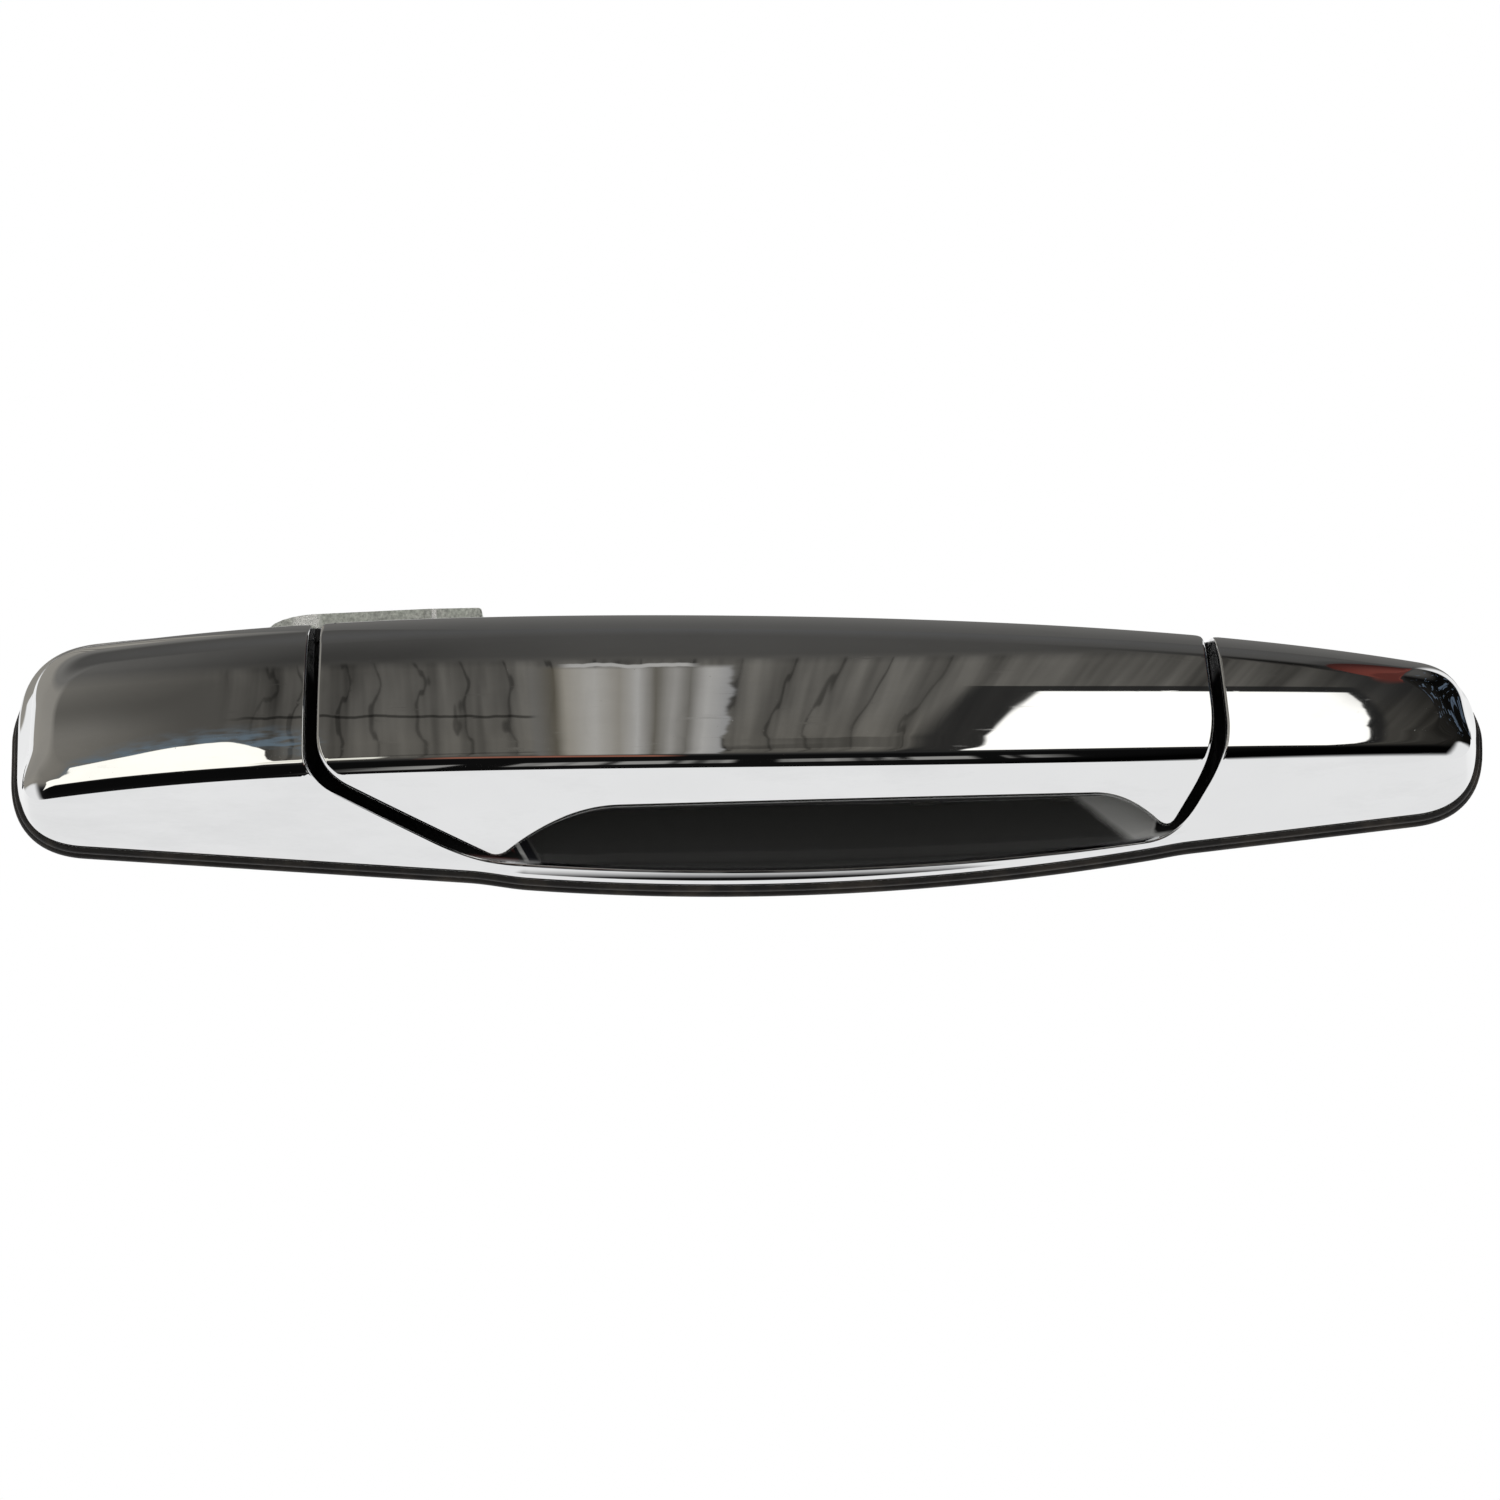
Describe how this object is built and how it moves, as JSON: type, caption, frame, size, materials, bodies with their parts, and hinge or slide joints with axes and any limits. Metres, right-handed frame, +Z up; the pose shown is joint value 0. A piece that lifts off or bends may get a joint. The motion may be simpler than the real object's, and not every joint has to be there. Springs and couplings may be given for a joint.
{
  "type": "car door handle",
  "caption": "Chrome lift-up exterior car door handle: bezel with end wings and finger scoop, hinged paddle, rubber gasket, and spring-loaded bellcrank behind.",
  "frame": {"origin": "middle of the handle's length, on the door-skin plane, midway between the two studs", "axes": "+X along the handle to the viewer's right, -Y outward from the door skin (the plated face), +Z up"},
  "size_m": [0.2873, 0.0613, 0.0608],
  "materials": {
    "bezel_chrome": "bright chrome plate on moulded plastic",
    "paddle_chrome": "bright chrome plate on moulded plastic",
    "gasket_rubber": "satin black moulded rubber",
    "liner_nylon": "black glass-filled nylon",
    "pin_steel": "ground steel rod",
    "chassis_zinc": "zinc die casting, as cast",
    "lever_zinc": "zinc die casting, as cast",
    "clip_nylon": "natural nylon",
    "bushing_nylon": "black acetal",
    "spring_steel": "oiled spring steel",
    "bumper_rubber": "matt black rubber",
    "screw_steel": "zinc plated steel",
    "stud_steel": "yellow zinc plated steel"
  },
  "bodies": {
    "housing": {"chrome_bezel": "bezel_chrome", "door_gasket": "gasket_rubber", "chassis": "chassis_zinc", "hinge_pin": "pin_steel", "hinge_bushing_left": "bushing_nylon", "hinge_bushing_right": "bushing_nylon", "hinge_clip_left": "spring_steel", "hinge_clip_right": "spring_steel", "paddle_spring": "spring_steel", "bellcrank_spring": "spring_steel", "stop_bumper_left": "bumper_rubber", "stop_bumper_right": "bumper_rubber", "bellcrank_pin": "pin_steel", "bellcrank_clip": "spring_steel", "chassis_screw_1": "screw_steel", "chassis_screw_2": "screw_steel", "chassis_screw_3": "screw_steel", "chassis_screw_4": "screw_steel", "chassis_screw_5": "screw_steel", "mounting_stud_left": "stud_steel", "mounting_stud_right": "stud_steel", "flange_nut_left": "stud_steel", "flange_nut_right": "stud_steel"},
    "paddle": {"paddle_shell": "paddle_chrome", "paddle_liner": "liner_nylon", "liner_screw_1": "screw_steel", "liner_screw_2": "screw_steel", "liner_screw_3": "screw_steel", "liner_screw_4": "screw_steel"},
    "lever": {"bellcrank": "lever_zinc", "bellcrank_bushing": "bushing_nylon"},
    "rod_clip_body": {"rod_clip": "clip_nylon"}
  },
  "joints": [
    {"name": "paddle_hinge", "type": "hinge", "parent": "housing", "child": "paddle", "pos_m": [0.0025, -0.013, 0.015], "axis": [-1, 0, 0], "range_deg": [0, 35], "stiffness_Nm_per_rad": 0.6, "springref_deg": -28.65, "deforming": ["paddle_spring"]},
    {"name": "bellcrank_hinge", "type": "hinge", "parent": "housing", "child": "lever", "pos_m": [-0.077, 0.0195, 0.016], "axis": [0, 1, 0], "range_deg": [0, 33.6], "stiffness_Nm_per_rad": 0.1, "springref_deg": -22.92, "deforming": ["bellcrank_spring"]},
    {"name": "rod_clip_hinge", "type": "hinge", "parent": "lever", "child": "rod_clip_body", "pos_m": [-0.102, 0.0195, 0.012], "axis": [0, 1, 0], "range_deg": [-40, 40]}
  ],
  "couplings": [
    {"joint": "bellcrank_hinge", "follows": "paddle_hinge", "ratio": 0.96}
  ]
}
